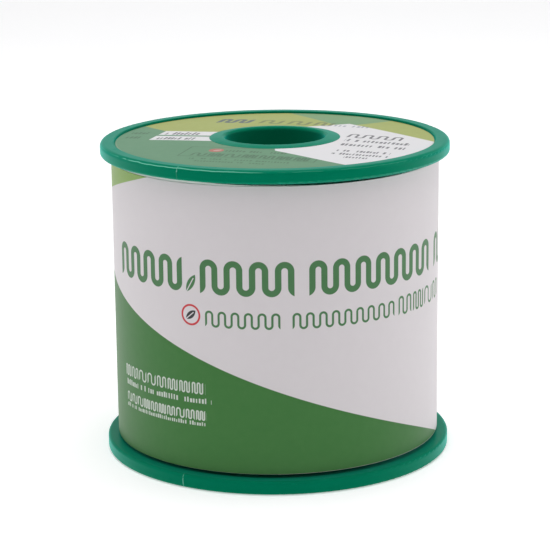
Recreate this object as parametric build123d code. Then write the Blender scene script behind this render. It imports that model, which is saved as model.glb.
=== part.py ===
from build123d import *
import math
import os

# A one kilogram spool of solder wire, standing on its lower flange.
# Origin: centre of the lower flange's resting plane. +Z is the spool's axis, and
# -Y is the side on which the printed wrap label shows its front.
# The reel's height is over its rims. The collar round the bore's upper end
# stands above them, and the bore tube's lower end stops short of the plane that
# the spool rests on, so that stacked spools meet at their rims.

# ---- Reel: driving dimensions, in millimetres ----
REEL_HEIGHT = 72.2
FLANGE_RADIUS = 40.0
RIM_HEIGHT = 3.0
RIM_WIDTH = 3.2
RIM_TOP_ROUNDING = 1.0
RIM_WINDING_SIDE_ROUNDING = 0.7
RIM_RESTING_ROUNDING = 0.4
RIM_INNER_ROUNDING = 0.3
FACE_RECESS = 0.65
FACE_RISE = 0.69
BORE_RADIUS = 11.4
BORE_LIP_ROUNDING = 0.8
TUBE_RADIUS = 13.4
TUBE_END_RECESS = 1.2
COLLAR_RADIUS = 14.95
COLLAR_PROUD = 0.65
COLLAR_CROWN_DROP = 0.2
COLLAR_EDGE_DROP = 0.47
COLLAR_CROWN_ROUNDING = 6.0
COLLAR_EDGE_ROUNDING = 0.12
BARREL_RADIUS = 22.5
BARREL_WALL = 2.0
BARREL_ROOT_ROUNDING = 0.8

# ---- Reel: core pockets and ribs between the barrel and the bore tube ----
RIB_COUNT = 6
RIB_THICKNESS = 1.6
POCKET_CORNER_ROUNDING = 0.8

# ---- Reel: marks of the mould ----
PARTING_ANGLE = 58.2
PARTING_WIDTH = 0.3
PARTING_PROUD = 0.08
EJECTOR_COUNT = 6
EJECTOR_RADIUS = 2.5
EJECTOR_CIRCLE_RADIUS = 28.5
EJECTOR_DEPTH = 0.15

# ---- Solder wire ----
WIRE_DIAMETER = 0.8
WINDING_RADIUS = 37.2
WINDING_EDGE_DROP = 1.8
WINDING_EDGE_RISE = 1.6
ANCHOR_HOLE_DIAMETER = 1.8
ANCHOR_ANGLE = 90.0
START_REACH = 3.0
START_BEND_RADIUS = 1.2
START_TAIL = 3.0

# ---- Tape, liner and labels ----
TAPE_THICKNESS = 0.06
TAPE_HEIGHT = 12.0
TAPE_ARC = 40.0
TAPE_ANGLE = 100.0
LINER_RADIUS = 37.27
LINER_THICKNESS = 0.12
LINER_BOTTOM = 4.4
LINER_TOP = 68.8
LABEL_RADIUS = 37.4
LABEL_THICKNESS = 0.12
LABEL_BOTTOM = 3.9
LABEL_TOP = 68.4
SEAM_ANGLE = 78.0
SEAM_OVERLAP = 7.0
FACE_LABEL_THICKNESS = 0.12
FACE_LABEL_OUTER_RADIUS = 36.45
FACE_LABEL_INNER_RADIUS = 15.15

# ---- Worked out from the above ----
RIM_INNER_RADIUS = FLANGE_RADIUS - RIM_WIDTH
COLLAR_TOP = REEL_HEIGHT + COLLAR_PROUD
BARREL_INNER_RADIUS = BARREL_RADIUS - BARREL_WALL
WINDING_BOTTOM = RIM_HEIGHT
WINDING_TOP = REEL_HEIGHT - RIM_HEIGHT
POCKET_DEPTH = REEL_HEIGHT - RIM_HEIGHT

os.makedirs("parts", exist_ok=True)


def turned(points, radii=None):
    """A solid turned about Z from a closed outline of (radius, height) points."""
    corners = [(r, 0, z) for r, z in points]
    if radii is None:
        outline = Polyline(*corners, close=True)
    else:
        outline = FilletPolyline(*corners, radius=radii, close=True)
    return revolve(make_face(outline), Axis.Z)


def tube(inner, outer, bottom, top):
    """A plain ring between two radii and two heights."""
    ring = Circle(outer) - Circle(inner)
    return extrude(Pos(0, 0, bottom) * ring, top - bottom)


def arc_strip(inner, thickness, middle_angle, arc_degrees, bottom, top):
    """A piece of a tube's wall, centred on an angle about Z."""
    half = arc_degrees / 2
    start = middle_angle - half
    outer = inner + thickness
    far_start = polar_point(outer, start)
    near_start = polar_point(inner, start)
    far_end = polar_point(outer, start + arc_degrees)
    near_end = polar_point(inner, start + arc_degrees)
    edges = [
        Line(near_start, far_start),
        CenterArc((0, 0), outer, start, arc_degrees),
        Line(far_end, near_end),
        CenterArc((0, 0), inner, start, arc_degrees),
    ]
    return extrude(Pos(0, 0, bottom) * make_face(edges), top - bottom)


def polar_point(radius, degrees):
    """The point at a radius and an angle in the XY plane."""
    angle = math.radians(degrees)
    return Vector(radius * math.cos(angle), radius * math.sin(angle))


def upper_face_height(radius):
    """The height of the upper face, which rises a little from the rim to the collar."""
    share = (RIM_INNER_RADIUS - radius) / (RIM_INNER_RADIUS - COLLAR_RADIUS)
    return REEL_HEIGHT - FACE_RECESS + FACE_RISE * share


def reel_body():
    """Bore tube, barrel and both flanges in one turned outline, before the pockets."""
    top = REEL_HEIGHT
    inner_face = RIM_HEIGHT
    points_and_radii = [
        ((BORE_RADIUS, TUBE_END_RECESS), BORE_LIP_ROUNDING),
        ((TUBE_RADIUS, TUBE_END_RECESS), 0),
        ((TUBE_RADIUS, FACE_RECESS), 0),
        ((RIM_INNER_RADIUS, FACE_RECESS), 0),
        ((RIM_INNER_RADIUS, 0), RIM_INNER_ROUNDING),
        ((FLANGE_RADIUS, 0), RIM_RESTING_ROUNDING),
        ((FLANGE_RADIUS, inner_face), RIM_WINDING_SIDE_ROUNDING),
        ((BARREL_RADIUS, inner_face), BARREL_ROOT_ROUNDING),
        ((BARREL_RADIUS, top - inner_face), BARREL_ROOT_ROUNDING),
        ((FLANGE_RADIUS, top - inner_face), RIM_WINDING_SIDE_ROUNDING),
        ((FLANGE_RADIUS, top), RIM_TOP_ROUNDING),
        ((RIM_INNER_RADIUS, top), RIM_INNER_ROUNDING),
        ((RIM_INNER_RADIUS, upper_face_height(RIM_INNER_RADIUS)), 0),
        ((COLLAR_RADIUS, upper_face_height(COLLAR_RADIUS)), 0),
        ((COLLAR_RADIUS, COLLAR_TOP - COLLAR_EDGE_DROP), COLLAR_EDGE_ROUNDING),
        ((TUBE_RADIUS, COLLAR_TOP - COLLAR_CROWN_DROP), COLLAR_CROWN_ROUNDING),
        ((BORE_RADIUS, COLLAR_TOP), BORE_LIP_ROUNDING),
    ]
    points = [point for point, _ in points_and_radii]
    radii = [radius for _, radius in points_and_radii]
    return turned(points, radii)


def core_pockets():
    """The deep pockets that a mould core leaves, open at the lower flange."""
    ring = Circle(BARREL_INNER_RADIUS) - Circle(TUBE_RADIUS)
    rib = Rectangle(2 * FLANGE_RADIUS, RIB_THICKNESS)
    for index in range(RIB_COUNT // 2):
        ring -= Rot(0, 0, index * 360 / RIB_COUNT) * rib
    ring = fillet(ring.vertices(), POCKET_CORNER_ROUNDING)
    return extrude(ring, POCKET_DEPTH)


def anchor_hole():
    """The hole through the barrel's wall that holds the start of the wire."""
    hole = Cylinder(ANCHOR_HOLE_DIAMETER / 2, BARREL_WALL + 2, rotation=(0, 90, 0))
    middle = BARREL_INNER_RADIUS + BARREL_WALL / 2
    height = WINDING_BOTTOM + BARREL_ROOT_ROUNDING + ANCHOR_HOLE_DIAMETER / 2
    return Rot(0, 0, ANCHOR_ANGLE) * Pos(middle, 0, height) * hole


def ejector_marks():
    """Shallow round marks that the ejector pins leave in the lower face."""
    pin = Cylinder(EJECTOR_RADIUS, EJECTOR_DEPTH, align=(Align.CENTER, Align.CENTER, Align.MIN))
    marks = PolarLocations(EJECTOR_CIRCLE_RADIUS, EJECTOR_COUNT, start_angle=180 / EJECTOR_COUNT)
    return Pos(0, 0, FACE_RECESS) * Compound([place * pin for place in marks])


def parting_ridges():
    """The thin line of flash that the mould's two halves leave on each rim."""
    length = RIM_WIDTH + PARTING_PROUD
    height = RIM_HEIGHT - 2 * RIM_TOP_ROUNDING
    middle_radius = FLANGE_RADIUS + PARTING_PROUD - length / 2
    ridge = Box(length, PARTING_WIDTH, height)
    ridges = []
    for side in (0, 180):
        for middle in (RIM_HEIGHT / 2, REEL_HEIGHT - RIM_HEIGHT / 2):
            ridges.append(Rot(0, 0, PARTING_ANGLE + side) * Pos(middle_radius, 0, middle) * ridge)
    return ridges


def reel():
    """The moulded reel: one piece, with its bore, barrel, ribs and two flanges."""
    body = reel_body() - core_pockets() - anchor_hole() - ejector_marks()
    for ridge in parting_ridges():
        body += ridge
    return body


def wire_start():
    """The first few millimetres of wire, pushed through the barrel and bent over."""
    height = WINDING_BOTTOM + BARREL_ROOT_ROUNDING + ANCHOR_HOLE_DIAMETER / 2
    inner_end = BARREL_INNER_RADIUS - START_REACH
    path = FilletPolyline(
        (BARREL_RADIUS + WIRE_DIAMETER, 0, height),
        (inner_end, 0, height),
        (inner_end, 0, height - START_TAIL),
        radius=START_BEND_RADIUS,
    )
    section = Plane(origin=path @ 0, z_dir=path % 0) * Circle(WIRE_DIAMETER / 2)
    return Rot(0, 0, ANCHOR_ANGLE) * sweep(section, path)


def solder_wire():
    """The whole winding as one closed solid, with the start of the wire."""
    edge_radius = WINDING_RADIUS - WINDING_EDGE_DROP
    points_and_radii = [
        ((BARREL_RADIUS, WINDING_BOTTOM), BARREL_ROOT_ROUNDING),
        ((edge_radius, WINDING_BOTTOM), 0),
        ((WINDING_RADIUS, WINDING_BOTTOM + WINDING_EDGE_RISE), WIRE_DIAMETER / 2),
        ((WINDING_RADIUS, WINDING_TOP - WINDING_EDGE_RISE), WIRE_DIAMETER / 2),
        ((edge_radius, WINDING_TOP), 0),
        ((BARREL_RADIUS, WINDING_TOP), BARREL_ROOT_ROUNDING),
    ]
    points = [point for point, _ in points_and_radii]
    radii = [radius for _, radius in points_and_radii]
    return turned(points, radii) + wire_start()


def wire_end_tape():
    """Clear tape over the last turn, under the paper."""
    middle = (WINDING_BOTTOM + WINDING_TOP) / 2
    bottom = middle - TAPE_HEIGHT / 2
    top = middle + TAPE_HEIGHT / 2
    return arc_strip(WINDING_RADIUS, TAPE_THICKNESS, TAPE_ANGLE, TAPE_ARC, bottom, top)


def paper_liner():
    """Plain white paper wrapped once round the winding."""
    return tube(LINER_RADIUS, LINER_RADIUS + LINER_THICKNESS, LINER_BOTTOM, LINER_TOP)


def side_label():
    """The printed label wrapped round the liner, with its glued overlap."""
    outer = LABEL_RADIUS + LABEL_THICKNESS
    wrap = tube(LABEL_RADIUS, outer, LABEL_BOTTOM, LABEL_TOP)
    overlap_arc = math.degrees(SEAM_OVERLAP / outer)
    inside_wrap = outer - LABEL_THICKNESS / 2
    lap_thickness = 1.5 * LABEL_THICKNESS
    lap = arc_strip(inside_wrap, lap_thickness, SEAM_ANGLE, overlap_arc, LABEL_BOTTOM, LABEL_TOP)
    return wrap + lap


def top_label():
    """The round printed label, lying on the upper face."""
    inner_height = upper_face_height(FACE_LABEL_INNER_RADIUS)
    outer_height = upper_face_height(FACE_LABEL_OUTER_RADIUS)
    points = [
        (FACE_LABEL_INNER_RADIUS, inner_height),
        (FACE_LABEL_OUTER_RADIUS, outer_height),
        (FACE_LABEL_OUTER_RADIUS, outer_height + FACE_LABEL_THICKNESS),
        (FACE_LABEL_INNER_RADIUS, inner_height + FACE_LABEL_THICKNESS),
    ]
    return turned(points)


NODES = {
    "reel": reel,
    "solder_wire": solder_wire,
    "wire_end_tape": wire_end_tape,
    "paper_liner": paper_liner,
    "side_label": side_label,
    "top_label": top_label,
}

for node, make in NODES.items():
    solid = make()
    solid.label = node
    export_step(solid, f"parts/{node}.step")
    print(node, len(solid.solids()), round(solid.volume, 1))
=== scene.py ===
"""The looks of a one kilogram spool of solder wire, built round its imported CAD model.

Blender works in metres. Sizes written here in millimetres are multiplied by MM.
Angles round the spool are measured from the front of the wrap label (-Y), positive towards +X.
"""
import math

import bmesh
import bpy
from mathutils import Matrix, Vector


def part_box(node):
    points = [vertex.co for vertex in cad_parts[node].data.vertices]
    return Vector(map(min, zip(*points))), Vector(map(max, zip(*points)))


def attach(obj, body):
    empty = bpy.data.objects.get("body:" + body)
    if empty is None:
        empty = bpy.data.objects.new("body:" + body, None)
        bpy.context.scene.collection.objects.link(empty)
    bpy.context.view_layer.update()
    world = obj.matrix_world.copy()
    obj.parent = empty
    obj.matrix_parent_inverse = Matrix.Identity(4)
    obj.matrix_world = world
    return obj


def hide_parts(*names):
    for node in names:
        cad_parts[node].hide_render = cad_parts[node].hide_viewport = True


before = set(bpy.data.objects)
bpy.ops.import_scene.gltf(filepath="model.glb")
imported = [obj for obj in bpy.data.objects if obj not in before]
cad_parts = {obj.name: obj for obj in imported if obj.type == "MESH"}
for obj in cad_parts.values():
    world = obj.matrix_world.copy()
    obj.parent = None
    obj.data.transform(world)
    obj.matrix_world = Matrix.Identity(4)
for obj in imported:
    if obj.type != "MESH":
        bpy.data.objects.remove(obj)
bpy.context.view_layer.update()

MM = 0.001
BODY = "root"

# ---- Sizes read from the frame, in millimetres ----
WIRE_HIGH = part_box("solder_wire")[1] / MM
LINER_LOW, LINER_HIGH = (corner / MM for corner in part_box("paper_liner"))
LABEL_LOW, LABEL_HIGH = (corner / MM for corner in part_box("side_label"))
FACE_LOW, FACE_HIGH = (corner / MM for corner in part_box("top_label"))

# ---- Sizes that the frame's boxes don't give, in millimetres ----
RIM_HEIGHT = 3.0
RIM_TOP = WIRE_HIGH.z + RIM_HEIGHT
COLLAR_RADIUS = 14.95
BARREL_SURFACE = 22.55

# ---- The winding ----
WINDING_RADIUS = WIRE_HIGH.x
WINDING_BOTTOM = RIM_HEIGHT
WINDING_EDGE_DROP = 1.8
WINDING_EDGE_RISE = 1.6
OUTER_LAYER_DEPTH = 0.75
CORE_TO_FLANGE = 0.05
WIRE_DIAMETER = 0.8
WIRE_TO_WIRE = 0.015
WIRE_TO_FLANGE = 0.02
WIRE_TO_TAPE = 0.01
WIRE_STEP_DOWN = 1.7
WIRE_HOLE_HEIGHT = 4.7
WIRE_START_RADIUS = 23.3
WIRE_START_STEP = 0.6
WIRE_START_POINTS = 8
WIRE_HANGS_AT = 17.5
WIRE_BEND_RADIUS = 1.2
WIRE_TAIL = 3.0

# ---- The papers ----
PAPER = 0.12
GLUE_GAP = 0.01
LINER_EASE = 0.005
LABEL_EASE = 0.01
COLLAR_EASE = 0.04
LABEL_INNER = LABEL_HIGH.x - PAPER
FACE_OUTER = FACE_HIGH.x
FACE_INNER = 15.15

# ---- Directions, in degrees from the front ----
FLASH_ANGLE = 31.8
SEAM_END = 173.3
SEAM_OVERLAP = 10.7
SEAM_RAMP = 4.0

# ---- How finely the meshes are divided ----
LABEL_STEPS_ROUND = 300
LABEL_STEPS_UP = 40
PAPER_STEPS_ROUND = 240
LINER_STEPS_UP = 12
FACE_STEPS_OUT = 16
WIRE_STEPS_ROUND = 72


# ---------------------------------------------------------------- meshes

def make_object(name, bm, material, smooth_limit=40.0):
    """Turns a finished bmesh in millimetres into a shaded object that rides on the reel."""
    bmesh.ops.recalc_face_normals(bm, faces=bm.faces)
    bmesh.ops.scale(bm, vec=(MM, MM, MM), verts=bm.verts)
    mesh = bpy.data.meshes.new(name)
    bm.to_mesh(mesh)
    bm.free()
    mesh.shade_smooth()
    mesh.set_sharp_from_angle(angle=math.radians(smooth_limit))
    mesh.materials.append(material)
    made = bpy.data.objects.new(name, mesh)
    bpy.context.scene.collection.objects.link(made)
    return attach(made, BODY)


def loft(bm, loops, ring=False, caps="none"):
    """Joins closed loops of points into a skin. caps: "none", "fan", or "strip" for a sheet's cut end."""
    rows = [[bm.verts.new(point) for point in loop] for loop in loops]
    count = len(rows[0])
    pairs = list(zip(rows, rows[1:]))
    if ring:
        pairs.append((rows[-1], rows[0]))
    for near, far in pairs:
        for i in range(count):
            j = (i + 1) % count
            bm.faces.new((near[i], near[j], far[j], far[i]))
    if caps == "fan":
        bm.faces.new(rows[0])
        bm.faces.new(rows[-1])
    if caps == "strip":
        for row in (rows[0], rows[-1]):
            for i in range(count // 2 - 1):
                bm.faces.new((row[i], row[i + 1], row[count - 2 - i], row[count - 1 - i]))


def around(angle, radius, height):
    """The point at an angle from the label's front, a radius and a height."""
    return Vector((radius * math.sin(angle), -radius * math.cos(angle), height))


def sheet_section(angle, radius, bottom, top, steps, bulge):
    """A closed loop round the thickness of a rolled sheet, standing on its edge."""
    heights = [bottom + (top - bottom) * i / steps for i in range(steps + 1)]
    outer = [around(angle, radius + PAPER + bulge(angle, z), z) for z in heights]
    inner = [around(angle, radius + bulge(angle, z), z) for z in reversed(heights)]
    return outer + inner


def paper_bulge(angle, z):
    """How far hand-wrapped paper stands off the winding here, never inwards."""
    long_waves = math.sin(3 * angle + 0.7) * math.sin(z / 17 + 0.4)
    short_waves = math.sin(11 * angle + z / 9) * math.sin(z / 6.5 + 1.9)
    return 0.022 + 0.015 * long_waves + 0.007 * short_waves


def no_bulge(_angle, _z):
    """Paper that lies flat everywhere."""
    return 0.0


def build_side_label(material):
    """The printed label as one sheet, wound once round and glued onto its own start."""
    bm = bmesh.new()
    start = math.radians(SEAM_END - 360 - SEAM_OVERLAP)
    end = math.radians(SEAM_END)
    lap = math.radians(SEAM_OVERLAP)
    ramp = math.radians(SEAM_RAMP)
    lift = PAPER + GLUE_GAP
    base = LABEL_INNER - LABEL_EASE
    loops = []
    for i in range(LABEL_STEPS_ROUND + 1):
        angle = start + (end - start) * i / LABEL_STEPS_ROUND
        into_lap = (angle - (end - lap - ramp)) / ramp
        share = min(max(into_lap, 0.0), 1.0)
        rise = lift * share * share * (3 - 2 * share)
        bottom = LABEL_LOW.z + 0.02 + 0.1 * math.sin(angle)
        top = LABEL_HIGH.z - 0.1 + 0.13 * math.sin(angle)
        loops.append(sheet_section(angle, base + rise, bottom, top, LABEL_STEPS_UP, paper_bulge))
    loft(bm, loops, caps="strip")
    made = make_object("side_label_sheet", bm, material, smooth_limit=60.0)
    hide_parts("side_label")
    return made


def build_liner(material):
    """The plain paper under the label, a little askew, so its edge shows above the label's left."""
    bm = bmesh.new()
    inner = LINER_HIGH.x - PAPER - LINER_EASE
    loops = []
    for i in range(PAPER_STEPS_ROUND):
        angle = 2 * math.pi * i / PAPER_STEPS_ROUND
        bottom = LINER_LOW.z + 0.1 * math.sin(angle + 0.6)
        top = LINER_HIGH.z - 0.32 - 0.55 * math.sin(angle) + 0.03 * math.sin(9 * angle)
        loops.append(sheet_section(angle, inner, bottom, top, LINER_STEPS_UP, no_bulge))
    loft(bm, loops, ring=True)
    made = make_object("paper_liner_sheet", bm, material, smooth_limit=60.0)
    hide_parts("paper_liner")
    return made


def face_height(radius):
    """The height of the upper face under the round label, as the frame's label gives it."""
    low = FACE_LOW.z
    high = FACE_HIGH.z - PAPER
    return low + (high - low) * (FACE_OUTER - radius) / (FACE_OUTER - FACE_INNER)


def build_face_label(material):
    """The round label on the upper face: a ring of paper that lies a little unevenly."""
    bm = bmesh.new()
    inner = COLLAR_RADIUS + COLLAR_EASE
    loops = []
    for i in range(PAPER_STEPS_ROUND):
        angle = 2 * math.pi * i / PAPER_STEPS_ROUND
        upper = []
        lower = []
        for k in range(FACE_STEPS_OUT + 1):
            share = k / FACE_STEPS_OUT
            radius = inner + (FACE_OUTER - inner) * share
            ripple = 0.02 * (1 + math.sin(4 * angle + 5 * share)) * math.sin(math.pi * share)
            edge_lift = 0.03 * share ** 6 * (1 + math.sin(3 * angle + 1.0))
            height = face_height(radius) + ripple + edge_lift
            upper.append(around(angle, radius, height + PAPER))
            lower.append(around(angle, radius, height))
        loops.append(upper + lower[::-1])
    loft(bm, loops, ring=True)
    made = make_object("top_label_sheet", bm, material, smooth_limit=60.0)
    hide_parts("top_label")
    return made


def tube_along(bm, path, radius, sides):
    """A round tube along a list of points, kept from twisting."""
    loops = []
    for i, point in enumerate(path):
        before = path[max(i - 1, 0)]
        after = path[min(i + 1, len(path) - 1)]
        ahead = (after - before).normalized()
        side = ahead.cross(Vector((0, 0, 1)))
        if side.length < 0.2:
            side = Vector((1, 0, 0))
        side.normalize()
        rise = side.cross(ahead).normalized()
        loop = []
        for k in range(sides):
            turn = 2 * math.pi * k / sides
            loop.append(point + radius * (math.cos(turn) * side + math.sin(turn) * rise))
        loops.append(loop)
    loft(bm, loops, caps="fan")


def wire_profile():
    """Radius and height of the wound body's outline, inside the outer layer of wire."""
    outer = WINDING_RADIUS - OUTER_LAYER_DEPTH
    edge = outer - WINDING_EDGE_DROP
    bottom = WINDING_BOTTOM + CORE_TO_FLANGE
    top = WIRE_HIGH.z - CORE_TO_FLANGE
    return [(BARREL_SURFACE, bottom), (edge, bottom), (outer, bottom + WINDING_EDGE_RISE),
            (outer, top - WINDING_EDGE_RISE), (edge, top), (BARREL_SURFACE, top)]


def wire_start():
    """The wire's start: in through the barrel's hole, then bent down into a pocket."""
    start = [Vector((0, WIRE_START_RADIUS - WIRE_START_STEP * i, WIRE_HOLE_HEIGHT))
             for i in range(WIRE_START_POINTS)]
    for i in range(1, WIRE_START_POINTS + 1):
        turn = math.pi / 2 * i / WIRE_START_POINTS
        start.append(Vector((
            0,
            WIRE_HANGS_AT + WIRE_BEND_RADIUS - WIRE_BEND_RADIUS * math.sin(turn),
            WIRE_HOLE_HEIGHT - WIRE_BEND_RADIUS + WIRE_BEND_RADIUS * math.cos(turn))))
    start.append(Vector((0, WIRE_HANGS_AT, WIRE_HOLE_HEIGHT - WIRE_TAIL)))
    return start


def build_winding(material):
    """The outer layer of wire turn by turn over the wound body, with the wire's start."""
    bm = bmesh.new()
    outline = wire_profile()
    loops = []
    for i in range(WIRE_STEPS_ROUND):
        angle = 2 * math.pi * i / WIRE_STEPS_ROUND
        loops.append([around(angle, radius, height) for radius, height in outline])
    loft(bm, loops, ring=True)
    pitch = WIRE_DIAMETER + WIRE_TO_WIRE
    lowest = WINDING_BOTTOM + WIRE_DIAMETER / 2 + WIRE_TO_FLANGE
    highest = WIRE_HIGH.z - WIRE_DIAMETER / 2 - WIRE_TO_FLANGE
    turns = (highest - lowest) / pitch
    path = []
    for i in range(int(turns * WIRE_STEPS_ROUND) + 1):
        angle = 2 * math.pi * i / WIRE_STEPS_ROUND
        height = lowest + pitch * i / WIRE_STEPS_ROUND
        edge = min(height - lowest, highest - height)
        step_down = WIRE_STEP_DOWN * max(0.0, 1 - edge / WINDING_EDGE_RISE)
        radius = WINDING_RADIUS - WIRE_DIAMETER / 2 - WIRE_TO_TAPE - step_down
        path.append(around(angle, radius, height))
    tube_along(bm, path, WIRE_DIAMETER / 2, 6)
    tube_along(bm, wire_start(), WIRE_DIAMETER / 2, 12)
    made = make_object("winding_turns", bm, material, smooth_limit=75.0)
    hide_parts("solder_wire")
    return made


# ---------------------------------------------------------------- node graphs

class Field:
    """A number that varies over a surface. Ordinary arithmetic on it adds nodes to its graph."""

    def __init__(self, graph, socket):
        self.graph = graph
        self.socket = socket

    def __add__(self, other):
        return self.graph.math("ADD", self, other)

    def __radd__(self, other):
        return self.graph.math("ADD", other, self)

    def __sub__(self, other):
        return self.graph.math("SUBTRACT", self, other)

    def __rsub__(self, other):
        return self.graph.math("SUBTRACT", other, self)

    def __mul__(self, other):
        return self.graph.math("MULTIPLY", self, other)

    def __rmul__(self, other):
        return self.graph.math("MULTIPLY", other, self)

    def __truediv__(self, other):
        return self.graph.math("DIVIDE", self, other)

    def __rtruediv__(self, other):
        return self.graph.math("DIVIDE", other, self)

    def __neg__(self):
        return self.graph.math("MULTIPLY", self, -1.0)

    def __abs__(self):
        return self.graph.math("ABSOLUTE", self)

    def __and__(self, other):
        return self.graph.math("MINIMUM", self, other)

    def __or__(self, other):
        return self.graph.math("MAXIMUM", self, other)

    def __invert__(self):
        return self.graph.math("SUBTRACT", 1.0, self)


class Graph:
    """One material's node tree, round a Principled shader."""

    def __init__(self, name):
        self.material = bpy.data.materials.new(name)
        self.material.use_nodes = True
        self.tree = self.material.node_tree
        self.tree.nodes.clear()
        self.shader = self.tree.nodes.new("ShaderNodeBsdfPrincipled")
        output = self.tree.nodes.new("ShaderNodeOutputMaterial")
        self.tree.links.new(self.shader.outputs["BSDF"], output.inputs["Surface"])
        place = self.tree.nodes.new("ShaderNodeTexCoord")
        self.place = self.scaled(place.outputs["Object"], 1 / MM)
        split = self.tree.nodes.new("ShaderNodeSeparateXYZ")
        self.tree.links.new(self.place, split.inputs[0])
        self.x, self.y, self.z = (Field(self, split.outputs[i]) for i in range(3))

    def scaled(self, vector, factors):
        """A vector socket multiplied by one number, or by three."""
        node = self.tree.nodes.new("ShaderNodeVectorMath")
        node.operation = "MULTIPLY"
        self.tree.links.new(vector, node.inputs[0])
        node.inputs[1].default_value = factors if isinstance(factors, tuple) else (factors,) * 3
        return node.outputs[0]

    def feed(self, socket, value):
        """Puts a number, a colour or another node's output into a socket."""
        if isinstance(value, Field):
            value = value.socket
        if isinstance(value, bpy.types.NodeSocket):
            self.tree.links.new(value, socket)
        elif isinstance(value, tuple):
            socket.default_value = (*value, 1.0) if len(value) == 3 else value
        else:
            socket.default_value = value

    def math(self, operation, *values):
        node = self.tree.nodes.new("ShaderNodeMath")
        node.operation = operation
        for socket, value in zip(node.inputs, values):
            self.feed(socket, value)
        return Field(self, node.outputs[0])

    def noise(self, size, detail=2.0, roughness=0.5, vector=None, seed=0.0):
        """Soft noise from 0 to 1, whose features are about size millimetres across."""
        node = self.tree.nodes.new("ShaderNodeTexNoise")
        node.noise_dimensions = "4D"
        self.tree.links.new(vector or self.place, node.inputs["Vector"])
        node.inputs["W"].default_value = seed
        node.inputs["Scale"].default_value = 1 / size
        node.inputs["Detail"].default_value = detail
        node.inputs["Roughness"].default_value = roughness
        return Field(self, node.outputs[0])

    def random(self, value, seed):
        """A random number from 0 to 1 for each whole value."""
        node = self.tree.nodes.new("ShaderNodeTexWhiteNoise")
        node.noise_dimensions = "1D"
        self.feed(node.inputs["W"], value * 1.13 + seed * 7.919)
        return Field(self, node.outputs[0])

    def ramp(self, value, low, high):
        """0 up to low, 1 from high, and smooth between."""
        node = self.tree.nodes.new("ShaderNodeMapRange")
        node.interpolation_type = "SMOOTHSTEP"
        self.feed(node.inputs["Value"], value)
        node.inputs["From Min"].default_value = low
        node.inputs["From Max"].default_value = high
        return Field(self, node.outputs[0])

    def above(self, value, blur=0.05):
        """1 where a distance in millimetres is above zero, with a printed edge's blur."""
        return self.ramp(value, -blur, blur)

    def between(self, value, low, high, blur=0.05):
        """1 where a value lies between two others."""
        return self.above(value - low, blur) & self.above(high - value, blur)

    def mix(self, share, first, second):
        """A colour between two others."""
        node = self.tree.nodes.new("ShaderNodeMix")
        node.data_type = "RGBA"
        self.feed(node.inputs["Factor"], share)
        self.feed(node.inputs[6], first)
        self.feed(node.inputs[7], second)
        return node.outputs[2]

    def bump(self, height, strength, distance_mm):
        """A bump from a height field, into the shader's normal."""
        node = self.tree.nodes.new("ShaderNodeBump")
        node.inputs["Strength"].default_value = strength
        node.inputs["Distance"].default_value = distance_mm * MM
        self.feed(node.inputs["Height"], height)
        self.tree.links.new(node.outputs[0], self.shader.inputs["Normal"])

    def set(self, **values):
        """Sets the shader's inputs, named with underscores for spaces."""
        for name, value in values.items():
            self.feed(self.shader.inputs[name.replace("_", " ")], value)


# ---------------------------------------------------------------- materials

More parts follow.
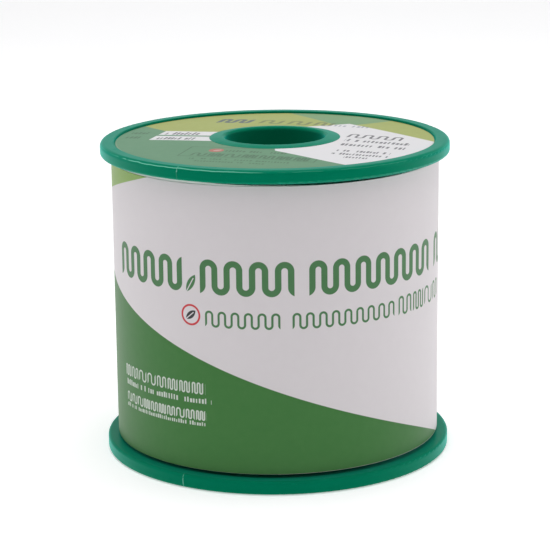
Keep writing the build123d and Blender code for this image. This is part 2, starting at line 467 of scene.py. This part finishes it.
def reel_plastic():
    """Moulded green plastic: flow marks, a scuffed outer edge and whitened flash."""
    g = Graph("reel_plastic")
    radius = g.math("SQRT", g.x * g.x + g.y * g.y)
    angle = g.math("ARCTAN2", g.x, -g.y)
    flow = g.noise(9.0, detail=3.0, seed=2.0)
    colour = g.mix(flow, (0.0, 0.185, 0.092), (0.0, 0.212, 0.108))
    speckle = g.ramp(g.noise(0.35, detail=1.0, seed=5.0), 0.66, 0.8)
    colour = g.mix(speckle * 0.05, colour, (0.25, 0.55, 0.42))
    # The line where the outer edge rubs: broken scratches round the top of the rim.
    edge_place = g.scaled(g.place, (0.16, 0.16, 0.2))
    broken = g.ramp(g.noise(1.0, detail=3.0, vector=edge_place, seed=8.0), 0.42, 0.5)
    thin = g.noise(2.5, detail=2.0, seed=9.0) * 0.3
    rubbed = g.between(g.z + thin, RIM_TOP - 0.31, RIM_TOP - 0.15, 0.04) & g.above(radius - 39.4, 0.05)
    worn = 0.12 + 0.88 * (g.ramp(angle, -1.15, -0.9) & g.ramp(-angle, 0.0, 0.3))
    colour = g.mix((rubbed & broken) * worn * 0.7, colour, (0.26, 0.78, 0.58))
    # Flash left where the two halves of the mould meet, whitened by trimming.
    flash_angle = math.radians(FLASH_ANGLE)
    waver = (g.noise(0.9, detail=2.0, seed=11.0) - 0.5) * 0.012
    half_width, blur = 0.0022, 0.0015
    near, far = -flash_angle, math.pi - flash_angle
    near_flash = g.between(angle + waver, near - half_width, near + half_width, blur)
    far_flash = g.between(angle + waver, far - half_width, far + half_width, blur)
    torn = g.ramp(g.noise(0.9, detail=2.0, seed=12.0), 0.35, 0.6)
    near_edge = g.ramp(g.z, RIM_TOP - 1.3, RIM_TOP - 0.9) | g.between(g.z, 0.2, 3.2, 0.1)
    flash = (near_flash | far_flash) & g.above(radius - 39.3, 0.05) & (0.1 + 0.9 * torn * near_edge)
    colour = g.mix(flash * 0.75, colour, (0.3, 0.75, 0.6))
    gloss_change = g.noise(5.0, detail=3.0, seed=13.0)
    scuffs = g.ramp(g.noise(1.0, detail=3.0, vector=g.scaled(g.place, (0.5, 0.5, 3.0)), seed=15.0), 0.6, 0.75)
    g.set(Base_Color=colour, Roughness=0.3 + 0.1 * gloss_change + 0.12 * scuffs)
    g.shader.inputs["IOR"].default_value = 1.46
    g.shader.inputs["Specular IOR Level"].default_value = 0.08
    g.shader.inputs["Specular Tint"].default_value = (0.0, 1.0, 0.85, 1.0)
    g.shader.inputs["Sheen Weight"].default_value = 0.6
    g.shader.inputs["Sheen Roughness"].default_value = 0.4
    g.shader.inputs["Sheen Tint"].default_value = (0.05, 1.0, 0.85, 1.0)
    g.bump(g.noise(0.7, detail=3.0, seed=17.0) + 0.6 * g.noise(6.0, seed=19.0), 0.12, 0.05)
    return g.material


def solder_metal():
    """Drawn solder wire: bright, with fine lines along it and dull patches."""
    g = Graph("solder_metal")
    streaks = g.noise(0.12, detail=2.0, vector=g.scaled(g.place, (0.15, 0.15, 1.0)), seed=3.0)
    dull = g.ramp(g.noise(4.0, detail=3.0, seed=4.0), 0.45, 0.7)
    colour = g.mix(dull, (0.66, 0.66, 0.68), (0.5, 0.5, 0.51))
    g.set(Base_Color=colour, Metallic=1.0, Roughness=0.22 + 0.12 * streaks + 0.18 * dull)
    g.bump(streaks, 0.15, 0.02)
    return g.material


def clear_tape():
    """Thin clear film, faintly yellow, with small air pockets under it."""
    g = Graph("clear_tape_film")
    pockets = g.ramp(g.noise(0.9, detail=2.0, seed=6.0), 0.6, 0.7)
    colour = g.mix(pockets, (0.74, 0.7, 0.58), (0.86, 0.84, 0.76))
    g.set(Base_Color=colour, Roughness=0.16 + 0.2 * pockets)
    g.bump(pockets, 0.2, 0.02)
    return g.material


def paper_fibres(g, seed):
    """Fine fibres and cloudy formation, from 0 to 1."""
    cloud = g.noise(2.2, detail=3.0, seed=seed)
    fibre = g.noise(0.16, detail=2.0, vector=g.scaled(g.place, (1.0, 1.0, 0.35)), seed=seed + 1)
    return cloud * 0.6 + fibre * 0.4


def liner_paper():
    """Plain uncoated paper."""
    g = Graph("liner_paper")
    fibres = paper_fibres(g, 21.0)
    g.set(Base_Color=g.mix(fibres, (0.86, 0.85, 0.83), (0.93, 0.92, 0.9)), Roughness=0.75 + 0.15 * fibres)
    g.bump(fibres, 0.25, 0.03)
    return g.material


def bent_line(g, t, z, middle, swing, width, stroke, bends):
    """A printed line bent up and down like wire, from t = 0 to width, that looks like a row of hairpins."""
    pitch = (width - stroke) / bends
    off_middle = z - middle
    below = g.math("LESS_THAN", off_middle, 0.0)
    phase = t - stroke / 2 + pitch * 0.5 - below * pitch
    across = phase - g.math("FLOOR", phase / (pitch * 2.0)) * pitch * 2.0 - pitch
    past_straight = (abs(off_middle) - (swing - stroke / 2) + pitch * 0.5) | 0.0
    away = abs(g.math("SQRT", across * across + past_straight * past_straight) - pitch * 0.5)
    return g.above(stroke / 2 - away) & g.between(t, 0.0, width)


def bent_words(g, s, z, middle, swing, pitch, stroke, words):
    """Bent lines that stand where words were, with about the words' weight."""
    shown = None
    for low, high in words:
        bends = round((high - low - stroke) / pitch)
        word = bent_line(g, s - low, z, middle, swing, high - low, stroke, float(bends))
        shown = word if shown is None else shown | word
    return shown


def bent_row(g, s, z, start, count, spacing, width, middle, swing, stroke, seed):
    """Short bent lines side by side, each with its own number of bends."""
    place = (s - start) / spacing
    cell = g.math("FLOOR", place)
    bends = 2.0 + g.math("FLOOR", g.random(cell, seed) * 2.99)
    line = bent_line(g, (place - cell) * spacing, z, middle, swing, width, stroke, bends)
    return line & g.between(place, 0.0, float(count))


def ticks(g, s, z, start, end, bottom, top, pitch, seed):
    """A row of fine upright strokes of uneven height and weight, in groups, where small print was."""
    cell = g.math("FLOOR", s / pitch)
    across = g.math("FRACT", s / pitch)
    width = 0.4 + 0.35 * g.random(cell, seed)
    inked = g.math("GREATER_THAN", g.random(cell, seed + 0.37), 0.14)
    tall = bottom + (top - bottom) * (0.65 + 0.35 * g.random(cell, seed + 0.71))
    stroke = g.between(across, 0.1, 1.0, 0.06) & g.above(width + 0.1 - across, 0.06)
    upright = stroke & g.above(z - bottom, 0.06) & g.above(tall - z, 0.06)
    return upright & inked & g.between(s, start, end, 0.05)


def outline(g, s, z, left, right, bottom, top, line):
    """A printed rectangle's outline."""
    outside = g.between(s, left, right) & g.between(z, bottom, top)
    inside = g.between(s, left + line, right - line) & g.between(z, bottom + line, top - line)
    return outside & ~inside


def ring_mark(g, s, z, across, up, outer, inner):
    """A plain printed ring."""
    away = g.math("SQRT", (s - across) * (s - across) + (z - up) * (z - up))
    return g.between(away, inner, outer, 0.04)


def leaf(g, s, z, across, up, length, width, lean):
    """A printed leaf: where two circles overlap, with its midrib left out."""
    cos, sin = math.cos(lean), math.sin(lean)
    along = (s - across) * cos + (z - up) * sin
    aside = (z - up) * cos - (s - across) * sin
    reach = (length * length / 4 + width * width / 4) / width
    offset = reach - width / 2
    left = g.math("SQRT", along * along + (aside - offset) * (aside - offset))
    right = g.math("SQRT", along * along + (aside + offset) * (aside + offset))
    blade = g.above(reach - left) & g.above(reach - right)
    midrib = g.above(0.11 - abs(aside)) & g.above(length * 0.3 - along)
    return blade & ~midrib


def side_label_print():
    """White satin paper with a green field below a slanting line, and generic marks.

    s runs round the label from its front and z up it, both in millimetres.
    """
    g = Graph("side_label_print")
    angle = g.math("ARCTAN2", g.x, -g.y)
    past_seam = g.math("GREATER_THAN", angle, math.radians(SEAM_END))
    s = (angle - past_seam * (2 * math.pi)) * LABEL_INNER
    z = g.z
    fibres = paper_fibres(g, 31.0)
    ink_cloud = g.noise(1.6, detail=3.0, seed=33.0)
    white = g.mix(fibres, (0.735, 0.69, 0.71), (0.775, 0.735, 0.752))
    green = g.mix(ink_cloud, (0.024, 0.166, 0.019), (0.040, 0.192, 0.030))
    lime = g.mix(ink_cloud, (0.25, 0.42, 0.085), (0.29, 0.46, 0.105))
    field = g.above(22.84 - 0.368 * s - z)
    corner = g.above(z - 68.0 - 0.275 * (s + 32.2)) & ~field
    colour = g.mix(corner, white, lime)
    colour = g.mix(field, colour, green)
    on_white = ~(field | corner)
    headline_words = [(-44.0, -21.6), (-17.1, 3.9), (7.1, 43.1), (46.9, 60.0)]
    headline = bent_words(g, s, z, 48.0, 3.9, 2.75, 1.4, headline_words)
    subline = bent_words(g, s, z, 38.65, 1.85, 1.45, 0.5, [(-16.0, 0.8), (3.4, 28.6)])
    subline = subline | bent_row(g, s, z, 29.9, 4, 5.4, 4.7, 38.8, 2.2, 0.52, 5.0)
    sprig = leaf(g, s, z, -19.4, 46.2, 4.6, 1.7, 1.05)
    inked = (headline | subline | sprig) & on_white
    colour = g.mix(inked, colour, g.mix(ink_cloud, (0.05, 0.185, 0.058), (0.066, 0.21, 0.075)))
    ring = ring_mark(g, s, z, -19.55, 39.1, 2.4, 1.95)
    colour = g.mix(ring & on_white, colour, (0.62, 0.035, 0.045))
    ring_leaf = leaf(g, s, z, -19.55, 39.1, 3.2, 1.5, 0.7)
    colour = g.mix(ring_leaf & on_white, colour, (0.03, 0.035, 0.035))
    level = z - 0.02 * (s + 30.0)
    rows = bent_row(g, s, level, -43.2, 8, 3.36, 2.9, 22.3, 1.35, 0.36, 1.0)
    rows = rows | ticks(g, s, level, -42.9, -14.8, 18.9, 20.2, 0.75, 2.0)
    rows = rows | bent_row(g, s, level, -42.7, 10, 2.66, 2.35, 16.1, 1.15, 0.36, 3.0)
    rows = rows | ticks(g, s, level, -42.8, -16.3, 13.75, 14.7, 0.62, 4.0)
    colour = g.mix((rows & field) * 0.85, colour, (0.72, 0.76, 0.71))
    # The back of the label, which the photograph doesn't show: a plain panel of small rows.
    back = None
    for i in range(7):
        row_top = 58.0 - 4.2 * i
        row = ticks(g, s, z, 72.0, 104.0 - 3.5 * (i % 3), row_top - 1.5, row_top, 0.85, 10.0 + i)
        back = row if back is None else back | row
    colour = g.mix((back & on_white) * 0.9, colour, (0.06, 0.16, 0.07))
    edge = g.above(LABEL_LOW.z + 0.06 + 0.16 * g.math("SINE", angle) - z, 0.05)
    colour = g.mix(edge * 0.7, colour, (0.75, 0.76, 0.74))
    g.set(Base_Color=colour, Roughness=0.4 + 0.08 * fibres)
    g.shader.inputs["IOR"].default_value = 1.45
    g.bump(fibres + 0.8 * g.noise(3.5, detail=2.0, seed=35.0), 0.1, 0.04)
    return g.material


def face_label_print():
    """The round label's print: sage with white and yellow-green areas, and generic marks.

    x and y are the frame's, and u and v the printed rows' own, turned a little, all in millimetres.
    """
    g = Graph("face_label_print")
    x, y = g.x, g.y
    radius = g.math("SQRT", x * x + y * y)
    turned = math.radians(-17.5)
    u = x * math.cos(turned) + y * math.sin(turned)
    v = y * math.cos(turned) - x * math.sin(turned)
    fibres = paper_fibres(g, 41.0)
    ink_cloud = g.noise(1.5, detail=3.0, seed=43.0)
    sage = g.mix(ink_cloud, (0.132, 0.290, 0.172), (0.162, 0.325, 0.198))
    sage = g.mix(g.ramp(v, 0.0, 34.0) * 0.8, sage, (0.245, 0.39, 0.19))
    lime = g.mix(ink_cloud, (0.375, 0.425, 0.125), (0.425, 0.475, 0.16))
    white = g.mix(fibres, (0.765, 0.755, 0.77), (0.82, 0.81, 0.83))
    grey_ink = (0.075, 0.075, 0.09)
    white_area = g.above(0.70 * x + 0.714 * y + 12.1) & g.above(25.2 - 0.78 * x - 0.626 * y)
    white_area = white_area & g.above(8.2 + 0.45 * x - 0.89 * y) & g.above(x)
    boxes = g.between(v, -2.15, 3.05) | g.between(v, -8.5, -3.5)
    boxes = boxes & g.above(u + 27.6) & g.above(-x)
    lime_back = g.above(0.845 * x + 0.535 * y + 15.6) & g.above(v - 3.05)
    lime_back = lime_back & g.above(0.89 * y - 0.45 * x - 8.2) & g.above(20.4 - 0.885 * x - 0.466 * y)
    wedge = g.above(0.78 * x + 0.626 * y - 25.2) & g.above(0.6 * x - 0.8 * y + 1.6)
    colour = g.mix(lime_back | wedge, sage, lime)
    colour = g.mix(white_area | boxes, colour, white)
    on_white = white_area | boxes
    # Rows on the white area.
    rows = bent_words(g, u, v, 6.0, 2.4, 1.75, 0.62, [(15.9, 28.6)])
    rows = rows | ticks(g, u, v, 16.6, 31.6, -0.9, 1.9, 0.95, 2.0)
    rows = rows | ticks(g, u, v, 16.2, 31.8, -6.0, -3.2, 0.95, 3.0)
    rows = rows | ticks(g, u, v, 17.8, 30.2, -12.3, -10.3, 0.75, 4.0)
    rows = rows | ticks(g, u, v, 17.8, 30.6, -15.7, -13.8, 0.75, 5.0)
    rows = rows | ticks(g, u, v, 21.4, 26.6, -18.6, -16.9, 0.75, 6.0)
    rows = rows | ticks(g, u, v, -26.3, -18.0, -1.5, 1.8, 0.95, 7.0)
    rows = rows | ticks(g, u, v, -26.3, -17.3, -7.5, -4.7, 0.85, 8.0)
    colour = g.mix((rows & on_white) * 0.85, colour, grey_ink)
    # Fainter rows on the sage, and a thin frame.
    faint = ticks(g, u, v, -34.8, -29.3, -1.3, 1.5, 0.95, 9.0)
    faint = faint | ticks(g, u, v, -34.2, -29.4, -7.0, -4.4, 0.95, 10.0)
    faint = faint | bent_row(g, u, v, -12.0, 7, 3.95, 3.4, -23.1, 1.6, 0.55, 11.0)
    faint = faint | ticks(g, u, v, -5.5, 9.0, -19.4, -17.6, 0.8, 12.0)
    faint = faint | ticks(g, u, v, -11.0, 12.0, -27.9, -26.7, 0.7, 13.0)
    faint = faint | ticks(g, u, v, -9.0, 7.0, -30.2, -29.2, 0.7, 14.0)
    faint = faint | outline(g, u, v, -14.7, 16.8, -25.3, -15.2, 0.28)
    colour = g.mix((faint & ~on_white) * 0.6, colour, (0.05, 0.11, 0.065))
    band = bent_words(g, u, v, 19.9, 3.1, 1.9, 1.15, [(-20.1, -11.8)])
    colour = g.mix(band * 0.9, colour, (0.10, 0.13, 0.17))
    band = bent_words(g, u, v, 19.9, 2.9, 1.9, 0.9, [(-9.6, -4.2), (-2.6, 2.6), (3.8, 8.3)])
    colour = g.mix(band * 0.75, colour, (0.15, 0.18, 0.10))
    band = ticks(g, u, v, 8.8, 17.3, 17.7, 20.4, 1.1, 15.0)
    colour = g.mix(band * 0.6, colour, (0.12, 0.16, 0.24))
    mark = ring_mark(g, u, v, -7.8, -18.5, 1.7, 0.0)
    colour = g.mix(mark * 0.75, colour, (0.62, 0.14, 0.14))
    colour = g.mix(leaf(g, u, v, -7.6, -18.5, 2.2, 1.0, 0.7) * 0.7, colour, (0.75, 0.70, 0.66))
    # Painted highlight: a lighter line along the outer cut edge, where the edge catches the light, fading out
    # towards the back.
    edge_catch_light = g.above(radius - (FACE_OUTER - 0.28), 0.05) & g.ramp(-y, -10.0, 30.0)
    colour = g.mix(edge_catch_light * 0.5, colour, (0.62, 0.68, 0.52))
    g.set(Base_Color=colour, Roughness=0.45 + 0.1 * fibres)
    g.shader.inputs["IOR"].default_value = 1.42
    g.shader.inputs["Specular IOR Level"].default_value = 0.35
    g.bump(fibres + 0.8 * g.noise(4.0, detail=2.0, seed=45.0), 0.12, 0.04)
    return g.material


def floor_paper():
    """The plain pale floor: matt, nearly white, with the faintest mottling."""
    g = Graph("floor_pale")
    cloud = g.noise(60.0, detail=2.0, seed=51.0)
    g.set(Base_Color=g.mix(cloud, (0.86, 0.86, 0.87), (0.88, 0.88, 0.885)), Roughness=0.9 + 0.05 * cloud)
    g.shader.inputs["Specular IOR Level"].default_value = 0.1
    g.shader.inputs["Emission Color"].default_value = (1.0, 0.995, 1.0, 1.0)
    g.shader.inputs["Emission Strength"].default_value = 0.40
    return g.material


# ---------------------------------------------------------------- the object

def dress(node, material, smooth_limit):
    """Gives a CAD node its material and smooth shading, and leaves its shape alone."""
    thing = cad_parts[node]
    thing.data.materials.clear()
    thing.data.materials.append(material)
    thing.data.shade_smooth()
    thing.data.set_sharp_from_angle(angle=math.radians(smooth_limit))


dress("reel", reel_plastic(), 30.0)
dress("wire_end_tape", clear_tape(), 40.0)
build_winding(solder_metal())
build_liner(liner_paper())
build_side_label(side_label_print())
build_face_label(face_label_print())


# ---------------------------------------------------------------- stage

FLOOR_RADIUS = 6.0
FLOOR_DROP = 0.0002


def build_floor():
    """A round floor far larger than the view."""
    bm = bmesh.new()
    bmesh.ops.create_circle(bm, cap_ends=True, segments=96, radius=FLOOR_RADIUS)
    mesh = bpy.data.meshes.new("floor")
    bm.to_mesh(mesh)
    bm.free()
    mesh.materials.append(floor_paper())
    floor = bpy.data.objects.new("floor", mesh)
    floor.location.z = -FLOOR_DROP
    bpy.context.scene.collection.objects.link(floor)


def soft_box(name, place, target, width, height, power):
    """A white rectangular studio light that faces a point."""
    light = bpy.data.lights.new(name, "AREA")
    light.shape = "RECTANGLE"
    light.size = width
    light.size_y = height
    light.energy = power
    lamp = bpy.data.objects.new(name, light)
    lamp.location = place
    lamp.rotation_euler = (Vector(target) - Vector(place)).to_track_quat("-Z", "Y").to_euler()
    bpy.context.scene.collection.objects.link(lamp)


def build_lights():
    """Five large soft lights: two above, one low behind and a panel at each side."""
    centre = (0.0, 0.0, 0.05)
    soft_box("overhead", (0.0, 0.12, 1.0), centre, 1.0, 1.0, 7.3)
    soft_box("front_key", (0.0, -0.6, 1.0), centre, 0.9, 0.6, 3.0)
    soft_box("low_back", (0.0, 1.1, 0.32), centre, 1.4, 0.5, 1.5)
    soft_box("left_panel", (-0.75, 0.12, 0.3), centre, 0.6, 0.8, 1.4)
    soft_box("right_panel", (0.75, 0.12, 0.3), centre, 0.6, 0.8, 1.8)


def build_world():
    """A faint even light from all round."""
    world = bpy.data.worlds.new("studio")
    world.use_nodes = True
    backdrop = world.node_tree.nodes["Background"]
    backdrop.inputs["Color"].default_value = (0.95, 0.97, 1.0, 1.0)
    backdrop.inputs["Strength"].default_value = 0.06
    bpy.context.scene.world = world


# Fitted to the photograph's view: metres, radians, and the lens in millimetres.
CAMERA_PLACE = (0.0, -0.4776, 0.1578)
CAMERA_PITCH_DOWN = 0.2423
CAMERA_PAN_LEFT = 0.0006
CAMERA_ROLL = 0.0109
CAMERA_LENS = 138.37
SENSOR_WIDTH = 36.0


def build_camera():
    """The camera at the photograph's viewing angle."""
    data = bpy.data.cameras.new("camera")
    data.lens = CAMERA_LENS
    data.sensor_width = SENSOR_WIDTH
    data.clip_start = 0.01
    camera = bpy.data.objects.new("camera", data)
    turn = Matrix.Rotation(CAMERA_PAN_LEFT, 4, "Z")
    tilt = Matrix.Rotation(math.pi / 2 - CAMERA_PITCH_DOWN, 4, "X")
    roll = Matrix.Rotation(-CAMERA_ROLL, 4, "Z")
    camera.matrix_world = Matrix.Translation(CAMERA_PLACE) @ turn @ tilt @ roll
    bpy.context.scene.collection.objects.link(camera)
    bpy.context.scene.camera = camera


build_floor()
build_lights()
build_world()
build_camera()
bpy.context.scene.view_settings.view_transform = "Standard"
